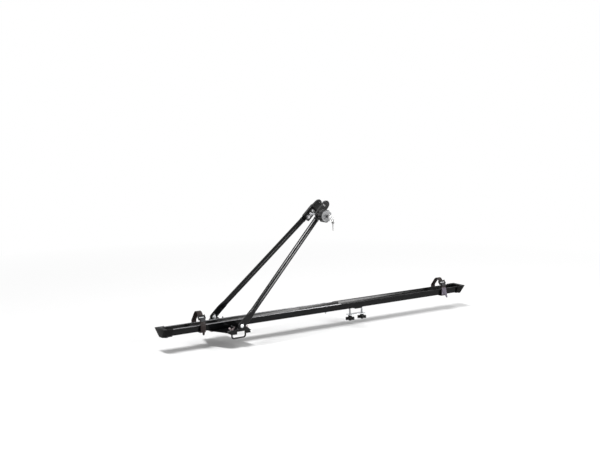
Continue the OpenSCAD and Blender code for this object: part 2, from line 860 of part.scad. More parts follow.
module near_jaw() {
    color(plastic_black) head_frame() mirror([0, 1, 0]) jaw(lug_r, near_root_y) {
        circle(r = lug_r);
        polygon([[0, -lug_r], [tube_out / 2, -jaw_w / 2], [tube_out / 2, jaw_w / 2], [0, lug_r]]);
        jaw_tongue(-tube_out / 2);
    }
}

module near_jaw_lining() {
    color(rubber_black) head_frame() mirror([0, 1, 0]) lining();
}

module thrust_sleeve() {
    color(zinc) head_frame()
        tube_y(sleeve_d, screw_hole_d, -knob_in + end_play, -near_root_y);
}

// Knob and lock, drawn on the screw's axis

module clamp_knob() {
    flute_d = knob_d / 4;
    flute_r = knob_d / 2 + flute_d / 2 - flute_depth;
    color(plastic_black) head_frame() difference() {
        union() {
            bar_y(knob_neck_d, -knob_in - knob_neck_len - cut, -knob_in);
            bar_y(knob_d, -knob_end, -knob_in - knob_neck_len);
        }
        for (i = [0:flutes - 1]) {
            rotate([0, i * 360 / flutes, 0]) translate([flute_r, 0, 0])
                bar_y(flute_d, -knob_end - cut, -knob_in - knob_neck_len + cut);
        }
        bar_y(insert_d, -knob_in - insert_len, -knob_in + cut);
        bar_y(screw_d + 4 * hole_fit, -screw_end - screw_room, -knob_in);
        bar_y(core_hole_d, -knob_end - cut, -core_start);
    }
}

module knob_insert() {
    color("#b08d4a") head_frame()
        tube_y(insert_d, screw_hole_d, -knob_in - insert_len, -knob_in);
}

module knob_cap() {
    arc = [for (a = [0:15:90]) [knob_cap_d / 2 * (0.8 + 0.2 * cos(a)), knob_cap_t * (0.4 + 0.6 * sin(a))]];
    color(knob_grey) head_frame() translate([0, -knob_end, 0]) rotate([90, 0, 0]) rotate_extrude()
        polygon(concat([[core_hole_d / 2, 0], [knob_cap_d / 2, 0]], arc, [[core_hole_d / 2, knob_cap_t]]));
}

module lock_core() {
    slot_t = key_t + 2 * key_fit;
    slot_w = blade_w + 2 * key_fit;
    color(zinc) lock_frame() difference() {
        bar_y(core_d, -core_end, -core_start);
        translate([-slot_t / 2, -core_end - cut, -slot_w / 2]) cube([slot_t, keyway + cut, slot_w]);
    }
}

// A flat key in Y and Z with the hole of its bow at the origin and its blade running to Y = len
module key_shape(len) {
    difference() {
        union() {
            translate([0, bow_shift, 0]) rotate([0, 90, 0]) cylinder(d = bow_d, h = key_t, center = true);
            translate([-key_t / 2, bow_shift, -blade_w / 2]) cube([key_t, len - bow_shift, blade_w]);
        }
        rotate([0, 90, 0]) cylinder(d = bow_hole_d, h = 2 * key_t, center = true);
    }
}

module key() {
    color(zinc) translate([screw_x, bow_y, screw_z]) key_shape(bow_out + keyway - key_fit);
}

module key_ring() {
    color(zinc) translate([ring_x, bow_y, ring_z]) rotate([90, 0, 0]) rotate_extrude()
        translate([ring_d / 2, 0]) circle(d = ring_wire);
}

module spare_key() {
    color(zinc) translate([spare_x, bow_y, spare_z]) rotate([-90, 0, 0])
        key_shape(bow_shift + bow_d / 2 + blade_len);
}

// Front clamps

// A U-bolt round the front bar, open upwards
module u_bolt() {
    half = clamp_pitch / 2;
    bend_z = ubolt_bottom + ubolt_bend;
    for (s = [0, 1]) {
        mirror([s, 0, 0]) {
            translate([half, 0, bend_z]) cylinder(d = rod_d, h = ubolt_end - bend_z);
            translate([half - ubolt_bend, 0, bend_z]) rotate([90, 0, 0]) rotate([0, 0, -90])
                rotate_extrude(angle = 90) translate([ubolt_bend, 0]) circle(d = rod_d);
        }
    }
    translate([-half + ubolt_bend, 0, ubolt_bottom]) rotate([0, 90, 0])
        cylinder(d = rod_d, h = 2 * (half - ubolt_bend));
}

module near_u_bolt() {
    color(steel_black) translate([0, -ubolt_y, 0]) u_bolt();
}

module far_u_bolt() {
    color(steel_black) translate([0, ubolt_y, 0]) u_bolt();
}

module wing_nut_washers() {
    color(zinc) for (x = [-1, 1], y = [-1, 1]) {
        translate([x * clamp_pitch / 2, y * ubolt_y, rail_z]) tube_z(washer_d, rod_hole_d, washer_t - end_play / 2);
    }
}

// A wing nut on its thread, with its wings along X
module wing_nut() {
    half = wing_span / 2;
    hub_r = wing_hub_d / 2;
    difference() {
        union() {
            cylinder(d = wing_hub_d, h = wing_hub_h);
            for (s = [0, 1]) {
                mirror([s, 0, 0]) along_y(-wing_t / 2, wing_t / 2)
                    polygon([[0, wing_t / 3], [hub_r, wing_t / 3], [half - wing_t, wing_h / 3],
                             [half, wing_h * 0.7], [half - wing_t / 2, wing_h - wing_t / 3],
                             [half - wing_t, wing_h], [half - 2 * wing_t, wing_h - wing_t / 3],
                             [hub_r, wing_hub_h * 0.8], [0, wing_hub_h * 0.8]]);
            }
        }
        translate([0, 0, -cut]) cylinder(d = rod_d + 2 * run_fit, h = wing_hub_h + 2 * cut);
    }
}

module wing_nut_at(x_side, y_side) {
    color(zinc) translate([x_side * clamp_pitch / 2, y_side * ubolt_y, wing_z]) wing_nut();
}

module near_front_wing_nut() {
    wing_nut_at(-1, -1);
}

module near_rear_wing_nut() {
    wing_nut_at(1, -1);
}

module far_front_wing_nut() {
    wing_nut_at(-1, 1);
}

module far_rear_wing_nut() {
    wing_nut_at(1, 1);
}

// Rear clamp

module rear_pad() {
    color(rubber_black) translate([bar_spacing - pad_w / 2, -rear_pad_len / 2, 0])
        cube([pad_w, rear_pad_len, rail_z]);
}

module rear_clamp_bolts() {
    color(zinc) for (x = rear_bolt_xs) {
        translate([x, 0, floor_top]) dome_bolt(rear_bolt_d, floor_top - rear_bolt_end);
    }
}

module rear_clamp_plate() {
    len = clamp_pitch + 2 * plate_over;
    color(zinc) translate([bar_spacing, 0, plate_z]) difference() {
        translate([-len / 2, -plate_w / 2, 0]) cube([len, plate_w, plate_t]);
        for (x = [-1, 1]) {
            translate([x * clamp_pitch / 2, 0, -cut]) cylinder(d = rear_hole_d, h = plate_t + 2 * cut);
        }
    }
}

// A star knob that hangs on its thread below the clamp plate
module star_knob() {
    lobe_r = (star_d - lobe_d) / 2;
    color(plastic_black) difference() {
        union() {
            translate([0, 0, -star_h]) cylinder(d = star_collar_d, h = star_h - end_play / 2);
            for (i = [0:lobes - 1]) {
                rotate([0, 0, star_turn + i * 360 / lobes]) {
                    translate([lobe_r, 0, -star_h]) cylinder(d = lobe_d, h = lobe_h);
                    translate([0, -lobe_d / 2 + 1, -star_h]) cube([lobe_r, lobe_d - 2, lobe_h]);
                }
            }
        }
        translate([0, 0, -star_h - cut]) cylinder(d = rear_bolt_d + 2 * run_fit, h = star_h + 2 * cut);
    }
}

module rear_star_knob_front() {
    translate([rear_bolt_xs[0], 0, plate_z]) star_knob();
}

module rear_star_knob_back() {
    translate([rear_bolt_xs[1], 0, plate_z]) star_knob();
}

// Straps

// Outline of a strap's loop, grown outwards from its inner face
module loop_outline(top_z, grow) {
    hull() {
        for (s = [-1, 1]) {
            translate([s * (strap_y - 3), strap_low + 3]) circle(r = 3 + grow, $fn = 32);
            translate([s * (strap_y - strap_side_r), strap_side_z]) circle(r = strap_side_r + grow, $fn = 32);
        }
        translate([0, top_z - strap_t - strap_top_r]) circle(r = strap_top_r + grow, $fn = 32);
    }
}

// Direction, square to the near side of the loop, in which its outer face looks
function slant_angle(top_z) =
    let (run = strap_y - strap_side_r, rise = top_z - strap_t - strap_top_r - strap_side_z)
    atan2(rise, run) + acos((strap_side_r - strap_top_r) / sqrt(run * run + rise * rise));

// Length of the loop's flat slanted side
function slant_len(top_z) =
    let (run = strap_y - strap_side_r, rise = top_z - strap_t - strap_top_r - strap_side_z,
         step = strap_top_r - strap_side_r)
    sqrt(run * run + rise * rise - step * step);

// The frame of a buckle: X along the rail, Y up the strap, Z out of the strap's outer face
module buckle_frame(x, top_z) {
    turn = slant_angle(top_z);
    out = strap_side_r + strap_t;
    translate([x, -strap_y + strap_side_r + out * cos(turn), strap_side_z + out * sin(turn)])
        rotate([turn - 90, 0, 0]) translate([0, slant_len(top_z) / 2, 0]) children();
}

// The closed loop with the free tail that hangs outside its near side
module strap(top_z, lean) {
    outer_y = -strap_y - strap_t;
    tail_low = rail_z - tail_drop;
    tail_top = strap_side_z - strap_t;
    difference() {
        along_x(-strap_w / 2, strap_w / 2) loop_outline(top_z, strap_t);
        along_x(-strap_w, strap_w) loop_outline(top_z, 0);
    }
    intersection() {
        along_x(-2 * strap_w, 2 * strap_w)
            polygon([[outer_y + strap_t / 2, tail_top], [outer_y - strap_t, tail_top - strap_t],
                     [outer_y - strap_t, tail_low], [outer_y, tail_low],
                     [outer_y, tail_top - 2 * strap_t], [outer_y + strap_t / 2, tail_top - 2 * strap_t]]);
        along_y(outer_y - 2 * strap_t, outer_y + 2 * strap_t)
            polygon([[-strap_w / 2, tail_top], [-strap_w / 2, tail_top - 2 * strap_t],
                     [lean - tail_tip_w / 2, tail_low], [lean + tail_tip_w / 2, tail_low],
                     [strap_w / 2, tail_top - 2 * strap_t], [strap_w / 2, tail_top]]);
    }
}

module front_strap() {
    color("#2a2422") translate([-front_strap_x, 0, 0]) strap(front_strap_h, front_tail_lean);
}

module rear_strap() {
    color("#2a2422") translate([rear_strap_x, 0, 0]) strap(rear_strap_h, rear_tail_lean);
}

// A sleeve round the strap with two cheeks that carry the lever's pin
module buckle() {
    half = strap_w / 2 + strap_fit + buckle_wall;
    low = -strap_t - strap_fit - buckle_wall / 2;
    color(plastic_black) difference() {
        union() {
            translate([-half, -buckle_len / 2, low]) cube([2 * half, buckle_len, buckle_wall - low]);
            for (s = [0, 1]) {
                mirror([s, 0, 0]) translate([half - buckle_wall, -buckle_len / 2, 0])
                    cube([buckle_wall, buckle_len, cheek_h]);
            }
        }
        translate([-half + buckle_wall, -buckle_len / 2 - cut, -strap_t - strap_fit])
            cube([2 * (half - buckle_wall), buckle_len + 2 * cut, strap_t + 2 * strap_fit]);
        translate([-half - cut, 0, cheek_h - lever_pin_d]) rotate([0, 90, 0])
            cylinder(d = lever_pin_d + 2 * run_fit, h = 2 * half + 2 * cut);
    }
}

// The lever that presses on the strap, with its pin
module buckle_lever() {
    half = strap_w / 2 + strap_fit;
    pin_z = cheek_h - lever_pin_d;
    color("#4a4c50") {
        translate([-half - buckle_wall, 0, pin_z]) rotate([0, 90, 0])
            cylinder(d = lever_pin_d, h = 2 * (half + buckle_wall));
        translate([-half + strap_fit, lever_root - lever_len, pin_z])
            cube([2 * (half - strap_fit), lever_len, lever_t]);
    }
}

module front_buckle() {
    buckle_frame(-front_strap_x, front_strap_h) buckle();
}

module front_buckle_lever() {
    buckle_frame(-front_strap_x, front_strap_h) buckle_lever();
}

module rear_buckle() {
    buckle_frame(rear_strap_x, rear_strap_h) buckle();
}

module rear_buckle_lever() {
    buckle_frame(rear_strap_x, rear_strap_h) buckle_lever();
}

front_rail();
rear_rail();
rail_tongue();
tongue_rivets();
rail_joint_bolt();
rail_joint_nut();
front_end_cap();
rear_end_cap();
base_bracket();
base_pad();
base_rail_bolts();
base_rail_nuts();
wing_nut_washers();
pivot_bolts();
pivot_nuts();
pivot_washers();
rear_pad();
rear_clamp_bolts();
near_u_bolt();
near_front_wing_nut();
near_rear_wing_nut();
far_u_bolt();
far_front_wing_nut();
far_rear_wing_nut();
rear_clamp_plate();
rear_star_knob_front();
rear_star_knob_back();
near_leg();
far_leg();
far_leg_bolt();
far_leg_nut();
far_jaw();
far_jaw_lining();
clamp_screw();
near_jaw();
near_jaw_lining();
thrust_sleeve();
clamp_knob();
knob_insert();
knob_cap();
lock_core();
key();
key_ring();
spare_key();
front_strap();
front_buckle();
front_buckle_lever();
rear_strap();
rear_buckle();
rear_buckle_lever();
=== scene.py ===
import json
import math

import bmesh
import bpy
from mathutils import Matrix, Vector


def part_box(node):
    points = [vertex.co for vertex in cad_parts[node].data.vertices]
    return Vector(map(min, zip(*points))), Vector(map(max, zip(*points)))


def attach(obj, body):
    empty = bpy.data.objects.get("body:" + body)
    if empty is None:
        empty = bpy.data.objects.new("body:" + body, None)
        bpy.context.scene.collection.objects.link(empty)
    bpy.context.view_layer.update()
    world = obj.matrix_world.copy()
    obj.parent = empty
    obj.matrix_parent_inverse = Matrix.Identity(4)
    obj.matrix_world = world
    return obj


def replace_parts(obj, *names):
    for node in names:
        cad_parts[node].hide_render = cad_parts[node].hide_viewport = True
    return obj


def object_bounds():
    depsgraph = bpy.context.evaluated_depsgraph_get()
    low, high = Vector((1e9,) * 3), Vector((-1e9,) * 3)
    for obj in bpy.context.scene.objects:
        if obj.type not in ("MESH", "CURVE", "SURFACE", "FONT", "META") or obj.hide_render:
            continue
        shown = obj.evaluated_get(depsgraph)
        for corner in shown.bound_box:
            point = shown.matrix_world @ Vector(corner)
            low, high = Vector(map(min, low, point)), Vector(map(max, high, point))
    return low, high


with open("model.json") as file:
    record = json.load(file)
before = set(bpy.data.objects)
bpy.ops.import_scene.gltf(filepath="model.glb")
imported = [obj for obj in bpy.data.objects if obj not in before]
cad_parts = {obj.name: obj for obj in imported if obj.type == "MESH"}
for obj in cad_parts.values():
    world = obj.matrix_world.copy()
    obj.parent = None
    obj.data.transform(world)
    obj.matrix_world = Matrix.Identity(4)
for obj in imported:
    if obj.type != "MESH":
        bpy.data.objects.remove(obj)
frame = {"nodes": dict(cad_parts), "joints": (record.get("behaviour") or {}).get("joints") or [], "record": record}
cadLow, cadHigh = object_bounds()
nodes = frame["nodes"]
bodyOf = {node: body for body, members in frame["record"]["behaviour"]["bodies"].items()
          for node in members}
jointAt = {joint["name"]: joint["pos_m"] for joint in frame["joints"] if "pos_m" in joint}
print("frame loaded,", len(nodes), "nodes")


# a socket that can be used in sums
class Val:
    def __init__(self, paint, socket):
        self.paint = paint
        self.socket = socket

    def work(self, operation, first, second):
        return self.paint.add("ShaderNodeMath", {"operation": operation}, {0: first, 1: second})

    def __add__(self, other):
        return self.work("ADD", self, other)

    def __radd__(self, other):
        return self.work("ADD", other, self)

    def __sub__(self, other):
        return self.work("SUBTRACT", self, other)

    def __rsub__(self, other):
        return self.work("SUBTRACT", other, self)

    def __mul__(self, other):
        return self.work("MULTIPLY", self, other)

    def __rmul__(self, other):
        return self.work("MULTIPLY", other, self)


# a material and the nodes it is made of
class Paint:
    words = {"base": "Base Color", "roughness": "Roughness", "metallic": "Metallic",
             "normal": "Normal", "specular": "Specular IOR Level"}

    def __init__(self, name):
        self.material = bpy.data.materials.new(name)
        self.material.use_nodes = True
        self.tree = self.material.node_tree
        self.shader = self.tree.nodes["Principled BSDF"]
        self.place = self.add("ShaderNodeTexCoord", {}, {}, "Object")

    # one node: its type, its settings, then the values or links of its sockets
    def add(self, kind, settings, sockets, output=0):
        made = self.tree.nodes.new(kind)
        for key, value in settings.items():
            setattr(made, key, value)
        for key, value in sockets.items():
            self.plug(made.inputs[key], value)
        return Val(self, made.outputs[output])

    def plug(self, target, value):
        if isinstance(value, Val):
            self.tree.links.new(value.socket, target)
        else:
            target.default_value = value

    def noise(self, scale, detail, roughness, place=None):
        return self.add("ShaderNodeTexNoise", {},
                        {"Vector": place or self.place, "Scale": scale,
                         "Detail": detail, "Roughness": roughness})

    # black up to one value, white from another
    def ramp(self, value, low, high):
        risen = self.add("ShaderNodeValToRGB", {}, {0: value})
        for stop, position in zip(risen.socket.node.color_ramp.elements, (low, high)):
            stop.position = position
        return risen

    # a mix node's colour sockets come after those for numbers and vectors
    def mix(self, factor, first, second):
        return self.add("ShaderNodeMix", {"data_type": "RGBA"},
                        {0: factor, 6: first, 7: second}, 2)

    def bump(self, height, strength, distance):
        return self.add("ShaderNodeBump", {},
                        {"Height": height, "Strength": strength, "Distance": distance})

    def attribute(self, name):
        return self.add("ShaderNodeAttribute", {"attribute_name": name}, {}, "Fac")

    def stretched(self, scale):
        return self.add("ShaderNodeMapping", {}, {"Vector": self.place, "Scale": scale})

    def done(self, **sockets):
        for key, value in sockets.items():
            self.plug(self.shader.inputs[self.words[key]], value)
        return self.material


def grey(level, warm=0.0):
    return (level * (1 + warm), level, level * (1 - warm), 1)


# satin black coating on sheet and tube, rubbed a little on its edges
# here and below a noise is a scale, a detail and a roughness, and a bump a strength and a height
coatLook = {"dark": (0.003, 0.0031, 0.0034, 1), "light": (0.0055, 0.0057, 0.006, 1),
            "patchNoise": (14.0, 4, 0.55), "peelNoise": (620.0, 2, 0.55),
            "peelBump": (0.025, 0.0004), "dust": 0.012, "dustNoise": (46.0, 8, 0.7),
            "dustRamp": (0.48, 0.8), "dustRough": 0.05, "dustTint": (0.07, 0.067, 0.062, 1),
            "rub": 0.35, "rubNoise": (85.0, 6, 0.65), "rubRamp": (0.42, 0.66), "rubSmooth": 0.03,
            "bare": (0.16, 0.16, 0.165, 1), "bareMetal": 0.6,
            "rough": 0.09, "roughSpread": 0.05, "specular": 0.17}
railLook = dict(coatLook, specular=0.11)
# on the front channel the rubbed lip is brighter and wider than wear alone: bare metal that is a painted highlight
# line along the lip as well as wear
lipHighlightLook = dict(railLook, rub=0.9, rubNoise=(24.0, 6, 0.65), rubRamp=(0.22, 0.46),
               bare=(0.32, 0.32, 0.33, 1), bareMetal=1.0)


def blackCoat(name, look):
    paint = Paint(name)
    broad = paint.noise(*look["patchNoise"])
    fine = paint.noise(*look["peelNoise"])
    dust = paint.ramp(paint.noise(*look["dustNoise"]), *look["dustRamp"])
    # rub marks worn edges; in the front lip's finish the same mask also paints the highlight line along the lip
    rub = paint.attribute("wear") * paint.ramp(paint.noise(*look["rubNoise"]), *look["rubRamp"])
    base = paint.mix(broad, look["dark"], look["light"])
    base = paint.mix(dust * look["dust"], base, look["dustTint"])
    base = paint.mix(rub * look["rub"], base, look["bare"])
    rough = look["rough"] + look["roughSpread"] * broad
    rough = rough + dust * look["dustRough"] - rub * look["rubSmooth"]
    return paint.done(base=base, roughness=rough, metallic=rub * look["bareMetal"],
                      normal=paint.bump(fine, *look["peelBump"]), specular=look["specular"])


# bright zinc, and the other bare metals
zincLook = {"dark": (0.47, 0.48, 0.5, 1), "light": (0.68, 0.69, 0.7, 1),
            "patchNoise": (110.0, 5, 0.6), "streakNoise": (160.0, 3, 0.55),
            "streakRun": (1.0, 1.0, 4.0), "streakRough": 0.08, "streakBump": (0.12, 0.0002),
            "tarnish": 0.35, "tarnishRamp": (0.52, 0.75), "tarnishTint": (0.42, 0.39, 0.33, 1),
            "rough": 0.26, "roughSpread": 0.16}
nickelLook = dict(zincLook, dark=(0.6, 0.6, 0.6, 1), light=(0.8, 0.8, 0.79, 1),
                  rough=0.2, tarnish=0.2)
leverLook = dict(zincLook, dark=(0.035, 0.035, 0.037, 1), light=(0.06, 0.06, 0.063, 1),
                 rough=0.36, tarnish=0.2, tarnishTint=(0.05, 0.045, 0.04, 1))
dullLook = dict(zincLook, dark=(0.24, 0.24, 0.25, 1), light=(0.36, 0.36, 0.37, 1), rough=0.36)
wingLook = dict(zincLook, dark=(0.17, 0.14, 0.14, 1), light=(0.3, 0.26, 0.26, 1),
                rough=0.36, tarnish=0.5, tarnishTint=(0.12, 0.09, 0.085, 1))
brassLook = dict(zincLook, dark=(0.5, 0.36, 0.14, 1), light=(0.66, 0.5, 0.22, 1),
                 tarnishTint=(0.3, 0.2, 0.1, 1))


def zincPlate(name, look):
    paint = Paint(name)
    cloud = paint.noise(*look["patchNoise"])
    streak = paint.noise(*look["streakNoise"], place=paint.stretched(look["streakRun"]))
    tarnish = paint.ramp(cloud, *look["tarnishRamp"]) * look["tarnish"]
    base = paint.mix(cloud, look["dark"], look["light"])
    base = paint.mix(tarnish, base, look["tarnishTint"])
    rough = look["rough"] + look["roughSpread"] * cloud + look["streakRough"] * streak
    return paint.done(base=base, metallic=1.0, roughness=rough,
                      normal=paint.bump(streak, *look["streakBump"]))


# moulded plastic or rubber with a fine grain, and a second tint where a tail is marked
plasticLook = {"dark": grey(0.0045), "light": grey(0.0085), "patchNoise": (22.0, 4, 0.55),
               "grain": 1500.0, "grainBump": (0.2, 0.0003),
               "scuff": 0.12, "scuffNoise": (40.0, 7, 0.7), "scuffRun": (1.0, 2.5, 1.0),
               "scuffRamp": (0.56, 0.72), "scuffRough": 0.1,
               "rub": 0.3, "rubNoise": (90.0, 5, 0.55), "rubRamp": (0.35, 0.7),
               "worn": grey(0.05, 0.02), "rough": 0.24, "roughSpread": 0.1, "specular": 0.2}
capLook = dict(plasticLook, dark=grey(0.0025), light=grey(0.005), worn=grey(0.025),
               rough=0.4, specular=0.06)
greyLook = dict(plasticLook, dark=grey(0.17, -0.015), light=grey(0.2, -0.015), worn=grey(0.3),
                rough=0.34, scuff=0.1, specular=0.35)
jawLook = dict(plasticLook, rough=0.13, roughSpread=0.05, scuff=0.06, specular=0.3)
rubberLook = dict(plasticLook, dark=grey(0.008), light=grey(0.015), worn=grey(0.06, 0.03),
                  grain=900.0, rough=0.66, scuff=0.4)
strapLook = dict(plasticLook, dark=(0.011, 0.0075, 0.0072, 1), light=(0.022, 0.0145, 0.0135, 1),
                 worn=(0.08, 0.062, 0.058, 1), grain=700.0, rough=0.4, scuff=0.4)
paleStrapLook = dict(strapLook, tail=((0.085, 0.075, 0.098, 1), (0.15, 0.135, 0.165, 1)))


def moulded(name, look):
    paint = Paint(name)
    broad = paint.noise(*look["patchNoise"])
    grain = paint.add("ShaderNodeTexVoronoi", {"feature": "SMOOTH_F1"},
                      {"Vector": paint.place, "Scale": look["grain"]}, "Distance")
    drawn = paint.noise(*look["scuffNoise"], place=paint.stretched(look["scuffRun"]))
    scuff = paint.ramp(drawn, *look["scuffRamp"])
    rub = paint.attribute("wear") * paint.ramp(paint.noise(*look["rubNoise"]), *look["rubRamp"])
    base = paint.mix(broad, look["dark"], look["light"])
    if "tail" in look:
        base = paint.mix(paint.attribute("tail"), base, paint.mix(broad, *look["tail"]))
    base = paint.mix(scuff * look["scuff"] + rub * look["rub"], base, look["worn"])
    rough = look["rough"] + look["roughSpread"] * broad + scuff * look["scuffRough"]
    return paint.done(base=base, roughness=rough, normal=paint.bump(grain, *look["grainBump"]),
                      specular=look["specular"])


coat = blackCoat("satinBlackCoat", coatLook)
railCoat = blackCoat("railCoat", railLook)
lipHighlightCoat = blackCoat("rubbedLipHighlightCoat", lipHighlightLook)
zinc = zincPlate("brightZinc", zincLook)
nickel = zincPlate("nickelKey", nickelLook)
leverSteel = zincPlate("dullLever", leverLook)
dullZinc = zincPlate("dullZinc", dullLook)
wingZinc = zincPlate("dullWingZinc", wingLook)
brass = zincPlate("turnedBrass", brassLook)
blackPlastic = moulded("blackPlastic", plasticLook)
capPlastic = moulded("capPlastic", capLook)
jawPlastic = moulded("jawPlastic", jawLook)
greyPlastic = moulded("greyCapPlastic", greyLook)
rubber = moulded("padRubber", rubberLook)
darkStrap = moulded("darkStrap", strapLook)
paleStrap = moulded("paleStrap", paleStrapLook)
print("materials made")

# how meshes are cleaned and rounded: turns are in degrees
meshing = {"merge": 3e-6, "flatTurn": 0.4, "sharpTurn": 30, "smoothTurn": 32, "profile": 0.5}


# a finished mesh that rides where its node rides
def piece(bm, name, node, material, smooth=meshing["smoothTurn"]):
    mesh = bpy.data.meshes.new(name)
    bm.to_mesh(mesh)
    bm.free()
    mesh.shade_smooth()
    mesh.set_sharp_from_angle(angle=math.radians(smooth))
    mesh.materials.append(material)
    made = bpy.data.objects.new(name, mesh)
    bpy.context.scene.collection.objects.link(made)
    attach(made, bodyOf[node])
    return made


# a new mesh that starts as a node's own, with its doubled points joined
def copied(node):
    bm = bmesh.new()
    bm.from_mesh(nodes[node].data)
    bmesh.ops.remove_doubles(bm, verts=bm.verts, dist=meshing["merge"])
    return bm


def roundOver(bm, edges, size, steps):
    made = bmesh.ops.bevel(bm, geom=edges, offset=size, offset_type="OFFSET", segments=steps,
                           profile=meshing["profile"], affect="EDGES", clamp_overlap=True,
                           material=-1)
    return made["faces"]


# a copy of a node with its sharp edges rounded, and the rounds marked as worn
def softened(node, material, edge, steps, extra=None):
    bm = copied(node)
    wear = bm.faces.layers.float.new("wear")
    bmesh.ops.dissolve_limit(bm, angle_limit=math.radians(meshing["flatTurn"]), verts=bm.verts,
                             edges=bm.edges)
    limit = math.radians(meshing["sharpTurn"])
    sharp = [e for e in bm.edges if e.is_manifold and e.calc_face_angle() > limit]
    for face in roundOver(bm, sharp, edge, steps):
        face[wear] = 1.0
    if extra:
        extra(bm)
    made = piece(bm, node + "_soft", node, material)
    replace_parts(made, node)


def keep(node, material):
    nodes[node].data.materials.clear()
    nodes[node].data.materials.append(material)


# 0 to 1 with a level start and end
def eased(t):
    t = min(1.0, max(0.0, t))
    return t * t * (3 - 2 * t)


def vertsIn(geom):
    return [g for g in geom if isinstance(g, bmesh.types.BMVert)]


def edgesOf(bm, ring):
    return [e for e in bm.edges if e.verts[0] in ring and e.verts[1] in ring]


# wires grow from a vertex by straight runs and bends
def runTo(bm, vert, place):
    new = bmesh.ops.extrude_vert_indiv(bm, verts=[vert])["verts"][0]
    new.co = place
    return new


def bendBy(bm, vert, centre, axis, degrees, steps):
    made = bmesh.ops.spin(bm, geom=[vert], cent=centre, axis=axis, angle=math.radians(degrees),
                          steps=steps)
    return vertsIn(made["geom_last"])[0]


# rolled rails: a channel's inner skin is drawn as a wire, pulled out and thickened
rail = {"floorHalf": 0.0215, "topHalf": 0.02675, "floor": 0.006, "lip": 0.02825, "sheet": 0.0015,
        "bend": 0.0018, "bendSteps": 5, "bead": 0.00275, "beadMid": 0.0293, "curl": 322,
        "curlSteps": 22, "rubAndHighlightFrom": 0.0287, "rubAndHighlightOver": 0.0018, "merge": 1e-6, "smooth": 40}
tongue = {"floorHalf": 0.0195, "topHalf": 0.02475, "floor": 0.0075, "lip": 0.02825}


def channel(bm, shape, start, end, curl):
    floor, lip = shape["floor"], shape["lip"]
    lean = math.degrees(math.atan2(lip - floor, shape["topHalf"] - shape["floorHalf"]))
    reach = rail["bend"] * math.tan(math.radians(lean / 2))
    flatHalf = shape["floorHalf"] - reach
    vert = bm.verts.new((start, 0, floor))
    vert = runTo(bm, vert, (start, flatHalf, floor))
    vert = bendBy(bm, vert, (start, flatHalf, floor + rail["bend"]), (1, 0, 0), lean,
                  rail["bendSteps"])
    vert = runTo(bm, vert, (start, shape["topHalf"], lip))
    if curl:
        vert.co.y = rail["beadMid"] - rail["bead"]
        bendBy(bm, vert, (start, rail["beadMid"], lip), (-1, 0, 0), rail["curl"],
               rail["curlSteps"])
    pulled = bmesh.ops.extrude_edge_only(bm, edges=bm.edges[:])["geom"]
    bmesh.ops.translate(bm, verts=vertsIn(pulled), vec=(end - start, 0, 0))


# each channel is as long as its node
def railPiece(name, node, shape, curl, material):
    low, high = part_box(node)
    bm = bmesh.new()
    channel(bm, shape, low.x, high.x, curl)
    bmesh.ops.mirror(bm, geom=bm.verts[:] + bm.edges[:] + bm.faces[:], axis="Y",
                     merge_dist=rail["merge"])
    bmesh.ops.remove_doubles(bm, verts=bm.verts, dist=rail["merge"])
    bmesh.ops.recalc_face_normals(bm, faces=bm.faces)
    floor = next(f for f in bm.faces
                 if abs(f.calc_center_median().z - shape["floor"]) < rail["merge"])
    if floor.normal.z < 0:
        bmesh.ops.reverse_faces(bm, faces=bm.faces)
    bmesh.ops.solidify(bm, geom=bm.faces, thickness=rail["sheet"])
    bmesh.ops.recalc_face_normals(bm, faces=bm.faces)
    # the tops of the lips are marked worn; on the front channel this mark also carries a painted highlight line
    wear = bm.verts.layers.float.new("wear")
    for vert in bm.verts:
        vert[wear] = eased((vert.co.z - rail["rubAndHighlightFrom"]) / rail["rubAndHighlightOver"])
    made = piece(bm, name, node, material, rail["smooth"])
    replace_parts(made, node)


# the front channel's lip carries the painted highlight line, the rear channel and tongue only wear
railPiece("front_channel", "front_rail", rail, True, lipHighlightCoat)
railPiece("rear_channel", "rear_rail", rail, True, railCoat)
railPiece("tongue_channel", "rail_tongue", tongue, False, railCoat)
print("rails rolled")

# A-frame legs: a ring is pulled along the leg and pressed flat at both ends
leg = {"reach": 0.529, "rise": 42.7, "tube": 0.010, "tabHalf": 0.013, "tabThick": 0.002,
       "topHalf": 0.011, "footMid": 0.103, "topMid": 0.038, "flatFoot": 0.038, "footStep": 0.02,
       "blend": 0.036, "topBlend": 0.012, "topRound": 0.010,
       "flatTop": {"near_leg": 0.014, "far_leg": 0.027}, "corner": 7.0, "sides": 48, "steps": 14,
       "bodySteps": 8, "tipAngles": range(3, 90, 6), "rubPower": 6, "smooth": 50}
armTurn = Matrix.Rotation(math.radians(-leg["rise"]), 4, "Y")
armPlace = Matrix.Translation(jointAt["arm_fold"]) @ armTurn


# distances from the pivot at which the ring stops
def legStations(flatTop):
    steps, bodySteps = leg["steps"], leg["bodySteps"]
    round0 = leg["flatFoot"] + leg["blend"]
    round1 = leg["reach"] - flatTop - leg["topBlend"]
    tips = [math.radians(angle) for angle in leg["tipAngles"]]
    foot = [-leg["tabHalf"] * math.cos(angle) for angle in tips]
    rise = [leg["flatFoot"] + leg["blend"] * i / steps for i in range(steps + 1)]
    body = [round0 + (round1 - round0) * i / bodySteps for i in range(1, bodySteps)]
    fall = [round1 + leg["topBlend"] * i / steps for i in range(steps + 1)]
    flat = [leg["reach"] - flatTop / 2, leg["reach"]]
    top = [leg["reach"] + leg["topRound"] * math.sin(angle) for angle in tips]
    return foot + [0.0, leg["footStep"]] + rise + body + fall + flat + top


